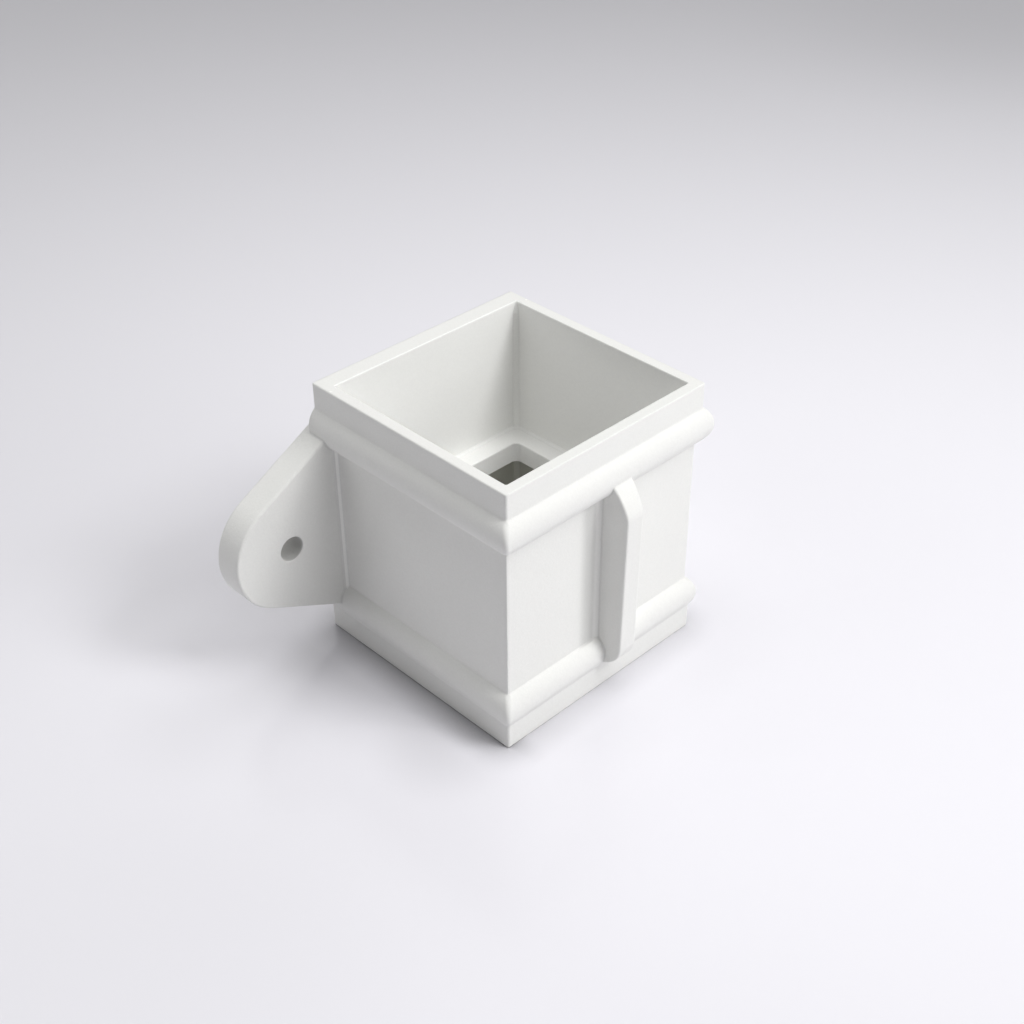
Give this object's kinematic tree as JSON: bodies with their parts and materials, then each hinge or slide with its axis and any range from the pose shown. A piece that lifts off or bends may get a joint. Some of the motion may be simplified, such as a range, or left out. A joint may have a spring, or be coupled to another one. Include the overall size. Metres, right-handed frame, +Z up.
{
  "type": "downpipe socket",
  "caption": "Square cast eared downpipe socket: joins square downpipes on an inner stop and fixes to a wall through holes in its side ears, with bead mouldings and a front rib.",
  "frame": {"origin": "on the pipe's axis, at the level of the lower end", "axes": "+Z up along the pipe, +X away from the wall towards the rib, +Y along the line of the two ears"},
  "size_m": [0.0964, 0.1646, 0.0955],
  "materials": {
    "white_powder_coat": "satin"
  },
  "bodies": {
    "root": {"socket_body": "white_powder_coat"}
  },
  "joints": []
}
